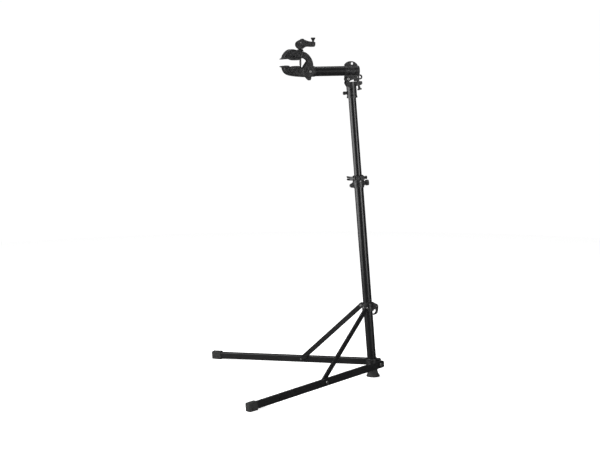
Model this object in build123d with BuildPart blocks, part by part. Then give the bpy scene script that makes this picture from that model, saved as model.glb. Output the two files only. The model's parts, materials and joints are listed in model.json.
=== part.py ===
"""Bike repair stand: two folding legs, a leaning telescopic mast and a clamp head on a folding arm.

Frame: origin at the centre of the mast foot's underside on the floor, +Z up. The legs and the arm
reach towards -X, the left leg is on the -Y side, and the mast leans towards -X. Millimetres.
"""
import os
from math import asin, atan2, cos, degrees, radians, sin

from build123d import *

# ---- driving dimensions ----
LEAN = 4.68            # mast's lean from the vertical, degrees
LEG_SPREAD = 35.4      # each leg's angle from -X, seen along the mast, degrees
LOWER_OD, LOWER_ID = 38.0, 34.0
UPPER_OD, UPPER_ID = 31.8, 28.2
ARM_OD, ARM_ID = 40.0, 36.0
FIT = 0.2              # radial clearance of a sliding or turning fit
GAP = 0.4              # gap between flat faces that turn past each other

# heights along the mast, measured from its foot
FOOT_TOP = 44.0
BRACKET = (36.0, 78.0)
LEG_PIVOT_HEIGHT = 54.2
COLLAR = (284.0, 318.0)
STRUT_PIVOT_HEIGHT = 304.7
MID_CLAMP = (809.0, 860.0)
LOWER_TUBE = (10.0, 836.0)
UPPER_TUBE = (520.0, 1240.0)
SOCKET = (1184.0, 1250.0)
ARM_HEIGHT = 1295.8

# legs and struts, in the plane in which each leg folds
LEG_REACH = 0.5        # pivot's distance from the mast axis, along the leg
LEG_OFFSET = 39.2      # leg's mid-plane from the mast axis
LEG_LENGTH = 769.5     # pivot to the middle of the rubber end
LEG_WIDTH, LEG_HEIGHT, LEG_WALL = 20.0, 29.0, 1.8
STRUT_ON_LEG = 341.0   # strut's lower pivot from the leg's pivot
STRUT_REACH = 37.0     # strut's upper pivot from the mast axis
STRUT_WIDTH, STRUT_THICK = 21.0, 8.0
CAP_LENGTH, CAP_WIDTH, CAP_HEIGHT = 44.0, 26.0, 34.0

# arm and clamp
ARM_DROP = 0.95        # arm's slope down towards the clamp, degrees
ARM_START, ARM_END = 23.4, 150.0
JAW_WIDTH = 54.0
JAW_PIVOT = (-173.0, 0.0)
ROD_AT = -209.0
ROD_DIA = 6.6
SLEEVE_DIA = 8.2
CAM_PIN = (-209.0, 117.0)
BARREL_NUT = (-209.0, 9.4)

# ---- frames ----
lean, spread, drop = radians(LEAN), radians(LEG_SPREAD), radians(ARM_DROP)
mast = Plane(origin=(0, 0, 0), x_dir=(cos(lean), 0, sin(lean)), z_dir=(-sin(lean), 0, cos(lean)))
mast_side = Plane(origin=(0, 0, 0), x_dir=mast.x_dir, z_dir=(0, -1, 0))


def point_on_mast(x, y, height):
    """World point at x, y across the mast and height along it."""
    return mast.from_local_coords(Vector(x, y, height))


def side_of_mast(x, height):
    """Plane facing -Y whose origin is at x, height beside the mast axis."""
    return Plane(origin=point_on_mast(x, 0, height), x_dir=mast.x_dir, z_dir=(0, -1, 0))


arm_origin = point_on_mast(0, 0, ARM_HEIGHT)
arm_side = Plane(origin=arm_origin, x_dir=(cos(drop), 0, sin(drop)), z_dir=(0, -1, 0))
arm_axis = Plane(origin=arm_origin, x_dir=(0, 1, 0), z_dir=(-cos(drop), 0, -sin(drop)))


def side_of_arm(x, height):
    """Plane facing -Y at x along the arm (negative towards the clamp) and height above its axis."""
    return Plane(origin=arm_side.from_local_coords(Vector(x, height, 0)), x_dir=arm_side.x_dir,
                 z_dir=(0, -1, 0))


def above_arm(x, height):
    """Plane square to the arm's side plane, facing up from the arm axis."""
    return Plane(origin=arm_side.from_local_coords(Vector(x, height, 0)), x_dir=arm_side.x_dir,
                 z_dir=arm_side.y_dir)


# ---- leg geometry: right side, mirrored for the left ----
leg_out = (mast.x_dir * sin(spread) + Vector(0, 1, 0) * cos(spread)).normalized()
leg_away = (mast.x_dir * -cos(spread) + Vector(0, 1, 0) * sin(spread)).normalized()
leg_pivot = mast.z_dir * LEG_PIVOT_HEIGHT + leg_away * LEG_REACH + leg_out * LEG_OFFSET
end_height = CAP_HEIGHT / 2 - 1.0
fall = leg_pivot.Z - end_height
leg_slope = asin(-leg_away.Z) - asin(fall / LEG_LENGTH)
leg_dir = (leg_away * cos(leg_slope) + mast.z_dir * sin(leg_slope)).normalized()
leg_frame = Plane(origin=leg_pivot, x_dir=leg_dir, z_dir=leg_out)
strut_plane_out = LEG_OFFSET - LEG_WIDTH / 2 - GAP - STRUT_THICK / 2
strut_low = leg_pivot + leg_dir * STRUT_ON_LEG + leg_out * (strut_plane_out - LEG_OFFSET)
strut_high = mast.z_dir * STRUT_PIVOT_HEIGHT + leg_away * STRUT_REACH + leg_out * strut_plane_out
strut_length = (strut_high - strut_low).length
strut_frame = Plane(origin=strut_low, x_dir=(strut_high - strut_low).normalized(), z_dir=leg_out)


def finish(piece, name):
    piece.part.label = name
    export_step(piece.part, f"parts/{name}.step")


def both_sides(piece, name):
    """Writes the right-hand piece and its mirror image on the left."""
    finish(piece, f"{name}_right")
    with BuildPart() as left:
        mirror(piece.part, about=Plane.XZ)
    finish(left, f"{name}_left")


os.makedirs("parts", exist_ok=True)

# ---- mast ----
with BuildPart() as lower_mast_tube:
    with BuildSketch(mast.offset(LOWER_TUBE[0])):
        Circle(LOWER_OD / 2)
        Circle(LOWER_ID / 2, mode=Mode.SUBTRACT)
    extrude(amount=LOWER_TUBE[1] - LOWER_TUBE[0])
finish(lower_mast_tube, "lower_mast_tube")

# Flared rubber foot: a cup around the tube's lower end, cut level with the floor.
with BuildPart() as mast_foot:
    with BuildSketch(mast_side):
        with BuildLine():
            Polyline((0, -6), (29.5, -6), (28.6, 3))
            Spline((28.6, 3), (22.6, 18), (21.6, FOOT_TOP - 8))
            Polyline((21.6, FOOT_TOP - 8), (20.6, FOOT_TOP - 8.5), (20.6, BRACKET[0] - 0.4))
            Polyline((20.6, BRACKET[0] - 0.4), (LOWER_OD / 2, BRACKET[0] - 0.4),
                     (LOWER_OD / 2, LOWER_TUBE[0]))
            Polyline((LOWER_OD / 2, LOWER_TUBE[0]), (0, LOWER_TUBE[0]), (0, -6))
        make_face()
    revolve(axis=Axis((0, 0, 0), mast.z_dir))
    split(bisect_by=Plane.XY, keep=Keep.TOP)
finish(mast_foot, "mast_foot")

# Cast bracket: a ring on the tube with a flat boss facing each leg.
with BuildPart() as base_bracket:
    with BuildSketch(mast.offset(BRACKET[0])):
        Circle(24.5)
    extrude(amount=BRACKET[1] - BRACKET[0])
    for side in (1, -1):
        out = Vector(leg_out.X, leg_out.Y * side, leg_out.Z)
        pivot = Vector(leg_pivot.X, leg_pivot.Y * side, leg_pivot.Z)
        face = pivot - out * (LEG_WIDTH / 2 + GAP)
        with BuildSketch(Plane(origin=face, x_dir=mast.z_dir, z_dir=out)):
            SlotOverall(34, 27)
        extrude(amount=-16)
    fillet(base_bracket.edges().filter_by(GeomType.CIRCLE).group_by(SortBy.RADIUS)[-1], 1.2)
    with BuildSketch(mast.offset(BRACKET[0] - 5)):
        Circle(LOWER_OD / 2)
    extrude(amount=60, mode=Mode.SUBTRACT)
    for side in (1, -1):
        out = Vector(leg_out.X, leg_out.Y * side, leg_out.Z)
        pivot = Vector(leg_pivot.X, leg_pivot.Y * side, leg_pivot.Z)
        with BuildSketch(Plane(origin=pivot, x_dir=mast.z_dir, z_dir=out)):
            Circle(4.0)
        extrude(amount=-LEG_WIDTH / 2 - 9, mode=Mode.SUBTRACT)
finish(base_bracket, "base_bracket")


def shoulder_bolt(plane, inner, outer, shank, head, head_height):
    """Domed-head bolt along the plane's normal, from inner to outer, with its head past outer."""
    with BuildPart() as bolt:
        with BuildSketch(plane.offset(inner)):
            Circle(shank / 2)
        extrude(amount=outer - inner)
        with BuildSketch(plane.offset(outer)):
            Circle(head / 2)
        extrude(amount=head_height)
        fillet(bolt.faces().sort_by(Axis(plane.origin, plane.z_dir))[-1].edges(), head_height * 0.4)
        with BuildSketch(plane.offset(outer + head_height)):
            RegularPolygon(head * 0.22, 6)
        extrude(amount=-head_height * 0.7, mode=Mode.SUBTRACT)
    return bolt.part


# ---- legs ----
outer_face = LEG_WIDTH / 2
bolt_right = shoulder_bolt(leg_frame, -outer_face - GAP - 7, outer_face + GAP, 8, 17, 4.5)
with BuildPart() as leg_pivot_bolts:
    add(bolt_right)
    mirror(bolt_right, about=Plane.XZ)
finish(leg_pivot_bolts, "leg_pivot_bolts")

LEG_CORNER = 7.0
tube_start, tube_end = -24.0, LEG_LENGTH + CAP_LENGTH / 2 - 12
with BuildPart() as leg_tube:
    with BuildSketch(leg_frame.offset(-LEG_WIDTH / 2)):
        with BuildLine():
            half = LEG_HEIGHT / 2
            Polyline((tube_start + LEG_CORNER, half), (tube_end, half), (tube_end, -half),
                     (tube_start + LEG_CORNER, -half))
            RadiusArc((tube_start + LEG_CORNER, -half), (tube_start, -half + LEG_CORNER), LEG_CORNER)
            Line((tube_start, -half + LEG_CORNER), (tube_start, half - LEG_CORNER))
            RadiusArc((tube_start, half - LEG_CORNER), (tube_start + LEG_CORNER, half), LEG_CORNER)
        make_face()
    extrude(amount=LEG_WIDTH)
    fillet(leg_tube.edges().filter_by(Axis((0, 0, 0), leg_dir)), 3.0)
    with BuildSketch(Plane(origin=leg_frame.from_local_coords(Vector(-30, 0, 0)), x_dir=leg_out,
                           z_dir=leg_dir)):
        RectangleRounded(LEG_WIDTH - 2 * LEG_WALL, LEG_HEIGHT - 2 * LEG_WALL, 1.6)
    extrude(amount=tube_end + 40, mode=Mode.SUBTRACT)
    for place, radius in ((0, 4.0 + FIT), (STRUT_ON_LEG, 4.0)):
        with BuildSketch(leg_frame.offset(-LEG_WIDTH)):
            with Locations((place, 0)):
                Circle(radius)
        extrude(amount=2 * LEG_WIDTH, mode=Mode.SUBTRACT)
both_sides(leg_tube, "leg_tube")

# Nylon plug that fills the pivot end of the tube and carries the bolt.
with BuildPart() as leg_plug:
    plug_half = LEG_HEIGHT / 2 - LEG_WALL - 0.05
    with BuildSketch(leg_frame.offset(-LEG_WIDTH / 2 + LEG_WALL + 0.05)):
        with BuildLine():
            plug_start = tube_start + 1.0
            Polyline((plug_start + LEG_CORNER, plug_half), (30, plug_half), (30, -plug_half),
                     (plug_start + LEG_CORNER, -plug_half))
            RadiusArc((plug_start + LEG_CORNER, -plug_half), (plug_start, -plug_half + LEG_CORNER),
                      LEG_CORNER)
            Line((plug_start, -plug_half + LEG_CORNER), (plug_start, plug_half - LEG_CORNER))
            RadiusArc((plug_start, plug_half - LEG_CORNER), (plug_start + LEG_CORNER, plug_half),
                      LEG_CORNER)
        make_face()
        Circle(4.0 + FIT, mode=Mode.SUBTRACT)
    extrude(amount=LEG_WIDTH - 2 * LEG_WALL - 0.1)
    chamfer(leg_plug.edges().filter_by(Axis((0, 0, 0), leg_dir)), 1.2)
both_sides(leg_plug, "leg_plug")

# Rubber end cap: a block over the tube's end, its underside level with the floor.
cap_from = LEG_LENGTH + CAP_LENGTH / 2 - 8 - CAP_LENGTH
with BuildPart() as leg_cap:
    cap_plane = Plane(origin=leg_frame.from_local_coords(Vector(cap_from, 0, 0)), x_dir=leg_out,
                      z_dir=leg_dir)
    with BuildSketch(cap_plane):
        RectangleRounded(CAP_WIDTH, CAP_HEIGHT + 4, 5)
    extrude(amount=CAP_LENGTH)
    fillet(leg_cap.faces().sort_by(Axis(leg_pivot, leg_dir))[-1].edges(), 3.5)
    with BuildSketch(cap_plane):
        RectangleRounded(LEG_WIDTH + 0.1, LEG_HEIGHT + 0.1, 3)
    extrude(amount=tube_end - cap_from, mode=Mode.SUBTRACT)
    split(bisect_by=Plane.XY, keep=Keep.TOP)
both_sides(leg_cap, "leg_cap")

# ---- struts ----
with BuildPart() as strut_pin:
    with BuildSketch(leg_frame.offset(-LEG_WIDTH / 2 - GAP - STRUT_THICK - 0.3)):
        with Locations((STRUT_ON_LEG, 0)):
            Circle(4.0)
    extrude(amount=STRUT_THICK + LEG_WIDTH + GAP + 0.5)
    with BuildSketch(leg_frame.offset(LEG_WIDTH / 2 + 0.2)):
        with Locations((STRUT_ON_LEG, 0)):
            Circle(7.5)
    extrude(amount=4.0)
    fillet(strut_pin.faces().sort_by(Axis(leg_pivot, leg_out))[-1].edges(), 1.8)
both_sides(strut_pin, "strut_pin")

with BuildPart() as strut:
    with BuildSketch(strut_frame.offset(-STRUT_THICK / 2)):
        with Locations((strut_length / 2, 0)):
            SlotCenterToCenter(strut_length, STRUT_WIDTH)
    extrude(amount=STRUT_THICK)
    chamfer(strut.faces().sort_by(Axis(strut_low, leg_out))[-1].edges(), 1.0)
    chamfer(strut.faces().sort_by(Axis(strut_low, leg_out))[0].edges(), 1.0)
    with BuildSketch(strut_frame.offset(-STRUT_THICK)):
        Circle(4.0 + FIT)
        with Locations((strut_length, 0)):
            Circle(4.0)
    extrude(amount=2 * STRUT_THICK, mode=Mode.SUBTRACT)
both_sides(strut, "strut")

high_frame = Plane(origin=strut_high, x_dir=strut_frame.x_dir, z_dir=leg_out)
strut_bolt_solid = shoulder_bolt(high_frame, -STRUT_THICK / 2, STRUT_THICK / 2, 8, 12, 4)
with BuildPart() as strut_bolt:
    add(strut_bolt_solid)
both_sides(strut_bolt, "strut_bolt")

# ---- sliding collar that the struts hang from ----
LUG_THICK = 5.0
lug_face = strut_plane_out - STRUT_THICK / 2 - GAP
LEVER_PIN = (37.5, 301.7)
with BuildPart() as leg_collar:
    with BuildSketch(mast.offset(COLLAR[0])):
        Circle(24.8)
    extrude(amount=COLLAR[1] - COLLAR[0])
    for side in (1, -1):
        out = Vector(leg_out.X, leg_out.Y * side, leg_out.Z)
        away = Vector(leg_away.X, leg_away.Y * side, leg_away.Z)
        start = mast.z_dir * STRUT_PIVOT_HEIGHT + out * (lug_face - LUG_THICK)
        with BuildSketch(Plane(origin=start, x_dir=away, z_dir=out)):
            with BuildLine():
                Polyline((-2, 13), (STRUT_REACH - 2, 10.5))
                ThreePointArc((STRUT_REACH - 2, 10.5), (STRUT_REACH + 10.5, 0), (STRUT_REACH - 2, -10.5))
                Polyline((STRUT_REACH - 2, -10.5), (14, -20), (-2, -20), (-2, 13))
            make_face()
        extrude(amount=LUG_THICK)
    with BuildSketch(side_of_mast(0, 0)):
        with BuildLine():
            Polyline((10, COLLAR[0] + 3), (24, COLLAR[0] + 3), (LEVER_PIN[0] + 4, LEVER_PIN[1] - 5.5))
            ThreePointArc((LEVER_PIN[0] + 4, LEVER_PIN[1] - 5.5), (LEVER_PIN[0] + 6.6, LEVER_PIN[1] + 1),
                          (LEVER_PIN[0] + 2, LEVER_PIN[1] + 6.5))
            Polyline((LEVER_PIN[0] + 2, LEVER_PIN[1] + 6.5), (26, COLLAR[1]), (10, COLLAR[1]),
                     (10, COLLAR[0] + 3))
        make_face()
    extrude(amount=11, both=True)
    with BuildSketch(mast.offset(COLLAR[0] - 20)):
        Circle(LOWER_OD / 2 + 1.8)
        with Locations((40, 0)):
            Rectangle(40, 12.6)
    extrude(amount=70, mode=Mode.SUBTRACT)
    with BuildSketch(side_of_mast(*LEVER_PIN)):
        Circle(2.5)
    extrude(amount=20, both=True, mode=Mode.SUBTRACT)
    for side in (1, -1):
        out = Vector(leg_out.X, leg_out.Y * side, leg_out.Z)
        high = Vector(strut_high.X, strut_high.Y * side, strut_high.Z)
        with BuildSketch(Plane(origin=high, x_dir=mast.z_dir, z_dir=out)):
            Circle(4.0)
        extrude(amount=-20, mode=Mode.SUBTRACT)
finish(leg_collar, "leg_collar")

with BuildPart() as collar_bush:
    with BuildSketch(mast.offset(COLLAR[0] + 1)):
        Circle(LOWER_OD / 2 + 1.8)
        Circle(LOWER_OD / 2 + FIT, mode=Mode.SUBTRACT)
    extrude(amount=COLLAR[1] - COLLAR[0] - 2)
    with BuildSketch(side_of_mast(0, LEVER_PIN[1])):
        with Locations((30, 0)):
            Rectangle(30, 14)
    extrude(amount=6.5, both=True, mode=Mode.SUBTRACT)
finish(collar_bush, "collar_bush")

with BuildPart() as strut_nuts:
    for side in (1, -1):
        out = Vector(leg_out.X, leg_out.Y * side, leg_out.Z)
        high = Vector(strut_high.X, strut_high.Y * side, strut_high.Z)
        lug_inner = high - out * (strut_plane_out - lug_face + LUG_THICK)
        with BuildSketch(Plane(origin=lug_inner, x_dir=mast.z_dir, z_dir=out)):
            RegularPolygon(6.5, 6)
        extrude(amount=-5)
        with BuildSketch(Plane(origin=lug_inner, x_dir=mast.z_dir, z_dir=out)):
            Circle(4.0)
        extrude(amount=LUG_THICK)
finish(strut_nuts, "strut_nuts")

with BuildPart() as collar_lever_pin:
    with BuildSketch(side_of_mast(*LEVER_PIN).offset(-12)):
        Circle(2.5)
    extrude(amount=24)
    fillet(collar_lever_pin.edges().filter_by(GeomType.CIRCLE), 0.6)
finish(collar_lever_pin, "collar_lever_pin")

# Cam lever: a nose that bears on the tube and a curved handle that hangs clear of it.
with BuildPart() as collar_lever:
    with BuildSketch(mast_side):
        with BuildLine():
            Spline((40.5, 309.3), (44.2, 303), (43.6, 288), (39.0, 272), (36.5, 268.5))
            Polyline((36.5, 268.5), (31, 265.8), (21.5, 263.6))
            ThreePointArc((21.5, 263.6), (20.2, 265.9), (21.8, 268.4))
            Spline((21.8, 268.4), (29.5, 272.5), (33.2, 280), (32.0, 289), (31.0, 294))
            Polyline((31.0, 294), (20.6, 297.5), (20.6, 305), (31.5, 309.3), (40.5, 309.3))
        make_face()
    extrude(amount=6.0, both=True)
    with BuildSketch(side_of_mast(*LEVER_PIN)):
        Circle(2.5 + FIT)
    extrude(amount=20, both=True, mode=Mode.SUBTRACT)
finish(collar_lever, "collar_lever")

# ---- mid clamp: holds the upper tube at its height ----
SKEWER_AT = (-29.0, 852.0)      # skewer's distance in front of the mast axis, and its height
KNOB_HEIGHT = 827.0
LEVER_X = -24.5
with BuildPart() as mid_clamp_body:
    with BuildSketch(mast.offset(MID_CLAMP[0])):
        Circle(22.4)
    extrude(amount=MID_CLAMP[1] - MID_CLAMP[0])
    with BuildSketch(mast.offset(MID_CLAMP[0] + 6)):
        Circle(24.0)
    extrude(amount=24)
    with BuildSketch(mast.offset(SKEWER_AT[1] - 9)):
        with Locations((1, -25)):
            RectangleRounded(38, 22, 5)
    extrude(amount=16)
    with BuildSketch(side_of_mast(0, 0)):
        with BuildLine():
            Polyline((-10, MID_CLAMP[0] + 2), (-20, MID_CLAMP[0] + 3), (-30, 811.5))
            ThreePointArc((-30, 811.5), (-38, 820), (-30, 828.5))
            Polyline((-30, 828.5), (-24, 833), (-10, 836), (-10, MID_CLAMP[0] + 2))
        make_face()
    extrude(amount=8, both=True)
    with BuildSketch(side_of_mast(0, KNOB_HEIGHT)):
        with Locations((22.5, 0)):
            Rectangle(9, 18)
    extrude(amount=9, both=True)
    with BuildSketch(mast.offset(MID_CLAMP[0] - 5)):
        Circle(LOWER_OD / 2)
    extrude(amount=LOWER_TUBE[1] - MID_CLAMP[0] + 5, mode=Mode.SUBTRACT)
    with BuildSketch(mast.offset(LOWER_TUBE[1] - 1)):
        Circle(UPPER_OD / 2 + 1.9)
    extrude(amount=60, mode=Mode.SUBTRACT)
    with BuildSketch(mast.offset(SKEWER_AT[1] - 12)):
        with Locations((0, -30)):
            Rectangle(3, 40)
    extrude(amount=40, mode=Mode.SUBTRACT)
    skewer_plane = Plane(origin=point_on_mast(0, *SKEWER_AT), x_dir=(0, 1, 0), z_dir=mast.x_dir)
    with BuildSketch(skewer_plane):
        Circle(3.0)
    extrude(amount=30, both=True, mode=Mode.SUBTRACT)
    knob_plane = Plane(origin=point_on_mast(0, 0, KNOB_HEIGHT), x_dir=(0, 1, 0), z_dir=mast.x_dir)
    with BuildSketch(knob_plane.offset(15)):
        Circle(4.0 + FIT)
    extrude(amount=20, mode=Mode.SUBTRACT)
finish(mid_clamp_body, "mid_clamp_body")

with BuildPart() as mid_clamp_bush:
    with BuildSketch(mast.offset(LOWER_TUBE[1])):
        Circle(UPPER_OD / 2 + 1.9)
        Circle(UPPER_OD / 2 + FIT, mode=Mode.SUBTRACT)
    extrude(amount=MID_CLAMP[1] - LOWER_TUBE[1] + 2)
finish(mid_clamp_bush, "mid_clamp_bush")

with BuildPart() as mid_clamp_skewer:
    with BuildSketch(skewer_plane.offset(LEVER_X + 3)):
        Circle(3.0)
    extrude(amount=28 - LEVER_X - 3)
finish(mid_clamp_skewer, "mid_clamp_skewer")

with BuildPart() as mid_clamp_nut:
    with BuildSketch(skewer_plane.offset(20.2)):
        Circle(5.5)
    extrude(amount=4)
    with BuildSketch(skewer_plane.offset(24.2)):
        RegularPolygon(7.2, 8)
    extrude(amount=6.5)
    chamfer(mid_clamp_nut.faces().sort_by(Axis(skewer_plane.origin, skewer_plane.z_dir))[-1].edges(), 1.0)
    with BuildSketch(skewer_plane.offset(18)):
        Circle(3.0)
    extrude(amount=10, mode=Mode.SUBTRACT)
finish(mid_clamp_nut, "mid_clamp_nut")

# Cam lever on the skewer's left end; its pin stands along the mast.
lever_base = mast.offset(SKEWER_AT[1])
with BuildPart() as mid_lever_pin:
    with BuildSketch(lever_base.offset(-6.5)):
        with Locations((LEVER_X, SKEWER_AT[0])):
            Circle(2.5)
    extrude(amount=13)
    with BuildSketch(skewer_plane.offset(LEVER_X - 3.5)):
        Circle(3.4)
    extrude(amount=6.5)
finish(mid_lever_pin, "mid_lever_pin")

with BuildPart() as mid_clamp_lever:
    with BuildSketch(lever_base.offset(-8)):
        with BuildLine():
            ThreePointArc((LEVER_X, SKEWER_AT[0] - 6.2), (LEVER_X + 6.2, SKEWER_AT[0]),
                          (LEVER_X, SKEWER_AT[0] + 6.2))
            Polyline((LEVER_X, SKEWER_AT[0] + 6.2), (-30, -20.5))
            Spline((-30, -20.5), (-34.5, -12), (-38.4, 0), (-39.5, 12))
            ThreePointArc((-39.5, 12), (-43.5, 15.2), (-46.3, 11))
            Spline((-46.3, 11), (-44.6, -8), (-39, -23), (-31, -33.5))
            Polyline((-31, -33.5), (-28.5, -34.8), (LEVER_X, SKEWER_AT[0] - 6.2))
        make_face()
    extrude(amount=16)
    with BuildSketch(lever_base.offset(-3.6)):
        Rectangle(200, 200)
    extrude(amount=7.2, mode=Mode.SUBTRACT)
    with BuildSketch(lever_base.offset(-3.6)):
        with BuildLine():
            Polyline((-32, -21), (-30.2, -25), (-31, -32.5), (-37, -24), (-42.5, -12), (-35.6, -8.5),
                     (-32, -21))
        make_face()
    extrude(amount=7.2)
    # The lever's two arms thicken towards the tip.
    for low in (-3.7, 1.3):
        with BuildSketch(lever_base.offset(low)):
            with BuildLine():
                Polyline((-37.4, -5), (-38.9, 3), (-39.8, 11.2), (-43.2, 14.2), (-45.4, 11), (-44.9, 0),
                         (-44.2, -5), (-37.4, -5))
            make_face()
        extrude(amount=2.4)
    with BuildSketch(lever_base.offset(-20)):
        with Locations((LEVER_X, SKEWER_AT[0])):
            Circle(2.5 + FIT)
    extrude(amount=40, mode=Mode.SUBTRACT)
finish(mid_clamp_lever, "mid_clamp_lever")

# Ribbed hand knob and its screw, on the right of the clamp.
with BuildPart() as height_lock_knob:
    with BuildSketch(knob_plane.offset(19.4)):
        Circle(4.0)
    extrude(amount=9)
    with BuildSketch(knob_plane.offset(27.4)):
        Circle(6.2)
    extrude(amount=4)
    with BuildSketch(knob_plane.offset(30)):
        Circle(12.2)
        with PolarLocations(12.8, 12):
            Circle(1.7, mode=Mode.SUBTRACT)
    extrude(amount=13)
    chamfer(height_lock_knob.faces().sort_by(Axis(knob_plane.origin, knob_plane.z_dir))[-1].edges(), 0.8)
finish(height_lock_knob, "height_lock_knob")

with BuildPart() as mid_clamp_screw:
    screw_plane = Plane(origin=point_on_mast(2, -25.4, 838), x_dir=mast.x_dir, z_dir=(0, -1, 0))
    with BuildSketch(screw_plane):
        Circle(3.2)
        RegularPolygon(1.8, 6, mode=Mode.SUBTRACT)
    extrude(amount=2.2)
    with BuildSketch(screw_plane):
        Circle(3.2)
    extrude(amount=-0.8)
finish(mid_clamp_screw, "mid_clamp_screw")

# ---- upper mast ----
with BuildPart() as upper_tube_bush:
    with BuildSketch(mast.offset(UPPER_TUBE[0] - 6)):
        Circle(LOWER_ID / 2 - FIT)
    extrude(amount=6)
    with BuildSketch(mast.offset(UPPER_TUBE[0])):
        Circle(UPPER_ID / 2 - FIT)
    extrude(amount=22)
    with BuildSketch(mast.offset(UPPER_TUBE[0] - 10)):
        Circle(9)
    extrude(amount=40, mode=Mode.SUBTRACT)
finish(upper_tube_bush, "upper_tube_bush")

with BuildPart() as upper_mast_tube:
    with BuildSketch(mast.offset(UPPER_TUBE[0] + 0.3)):
        Circle(UPPER_OD / 2)
        Circle(UPPER_ID / 2, mode=Mode.SUBTRACT)
    extrude(amount=UPPER_TUBE[1] - UPPER_TUBE[0] - 0.3)
finish(upper_mast_tube, "upper_mast_tube")

TILT_HINGE = (-14.4, 1263.3)
KNUCKLE_RADIUS = 10.5
KNUCKLE_HALF = 11.0
BUMPER_HEIGHT = 1206.0
SWING_PIN = (27.0, 1268.0)
SWING_TILT = 8.0
RING_AT = (37.0, 1267.5)
def on_knuckle(angle):
    """Point on the hinge knuckle's outline, beside the mast, at an angle in degrees."""
    turn = radians(angle)
    return (TILT_HINGE[0] + KNUCKLE_RADIUS * cos(turn), TILT_HINGE[1] + KNUCKLE_RADIUS * sin(turn))


with BuildPart() as head_socket:
    with BuildSketch(mast.offset(SOCKET[0])):
        Circle(20.8)
    extrude(amount=SOCKET[1] - SOCKET[0])
    with BuildSketch(mast.offset(SOCKET[0])):
        Circle(22.2)
    extrude(amount=7)
    with BuildSketch(mast_side):
        with BuildLine():
            Polyline((0, 1228), (-17, 1230), (-23.6, 1242.6), (-25, 1246.8), (-24.3, 1250.8),
                     on_knuckle(225))
            ThreePointArc(on_knuckle(225), on_knuckle(90), on_knuckle(-40))
            Polyline(on_knuckle(-40), (-11.8, 1251.2), (-8, 1249.5), (0, 1249.5), (0, 1228))
        make_face()
    extrude(amount=19, both=True)
    with BuildSketch(mast_side):
        with BuildLine():
            Polyline((10, 1250), (42.5, 1250), (45.2, 1247.6), (45.5, 1240), (43.4, 1236.4), (38, 1234),
                     (30, 1232), (10, 1230.5), (10, 1250))
        make_face()
    extrude(amount=10.5, both=True)
    with BuildSketch(mast.offset(SOCKET[0] - 5)):
        Circle(UPPER_OD / 2)
    extrude(amount=UPPER_TUBE[1] - SOCKET[0] + 5, mode=Mode.SUBTRACT)
    # Gap between the two hinge lugs for the arm head's knuckle.
    with BuildSketch(side_of_mast(*TILT_HINGE)):
        Circle(KNUCKLE_RADIUS + 1)
    extrude(amount=KNUCKLE_HALF + GAP, both=True, mode=Mode.SUBTRACT)
    with BuildSketch(side_of_mast(0, SOCKET[1])):
        with Locations((0, 20)):
            Rectangle(60, 40)
    extrude(amount=KNUCKLE_HALF + GAP, both=True, mode=Mode.SUBTRACT)
    with BuildSketch(side_of_mast(-22, 1252)):
        Rectangle(14, 26)
    extrude(amount=KNUCKLE_HALF + GAP, both=True, mode=Mode.SUBTRACT)
    with BuildSketch(side_of_mast(*TILT_HINGE)):
        Circle(4.0)
    extrude(amount=40, both=True, mode=Mode.SUBTRACT)
    # Open slot for the swing bolt.
    with BuildSketch(side_of_mast(0, 0)):
        with Locations((36, 1242)):
            Rectangle(26, 30)
    extrude(amount=5.4, both=True, mode=Mode.SUBTRACT)
    bumper_plane = Plane(origin=point_on_mast(0, 0, BUMPER_HEIGHT), x_dir=(0, 1, 0), z_dir=mast.x_dir * -1)
    with BuildSketch(bumper_plane.offset(18)):
        Circle(3.0)
    extrude(amount=10, mode=Mode.SUBTRACT)
finish(head_socket, "head_socket")

with BuildPart() as arm_rest_bumper:
    with BuildSketch(bumper_plane.offset(18)):
        Circle(3.0)
    extrude(amount=6)
    with BuildSketch(bumper_plane.offset(20.9)):
        Circle(6.5)
    extrude(amount=7)
    with BuildSketch(bumper_plane.offset(27.5)):
        Circle(7.2)
    extrude(amount=9.8)
    fillet(arm_rest_bumper.faces().sort_by(Axis(bumper_plane.origin, bumper_plane.z_dir))[-1].edges(), 2.5)
finish(arm_rest_bumper, "arm_rest_bumper")

with BuildPart() as tilt_hinge_bolt:
    hinge_plane = side_of_mast(*TILT_HINGE)
    with BuildSketch(hinge_plane.offset(-20)):
        Circle(4.0)
    extrude(amount=40)
    with BuildSketch(hinge_plane.offset(19.1)):
        Circle(5.6)
    extrude(amount=3)
    with BuildSketch(hinge_plane.offset(-22.2)):
        Circle(5.6)
    extrude(amount=3.1)
    chamfer(tilt_hinge_bolt.faces().filter_by(Axis.Y).sort_by(Axis.Y)[0].edges(), 0.8)
    chamfer(tilt_hinge_bolt.faces().filter_by(Axis.Y).sort_by(Axis.Y)[-1].edges(), 0.8)
finish(tilt_hinge_bolt, "tilt_hinge_bolt")

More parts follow.
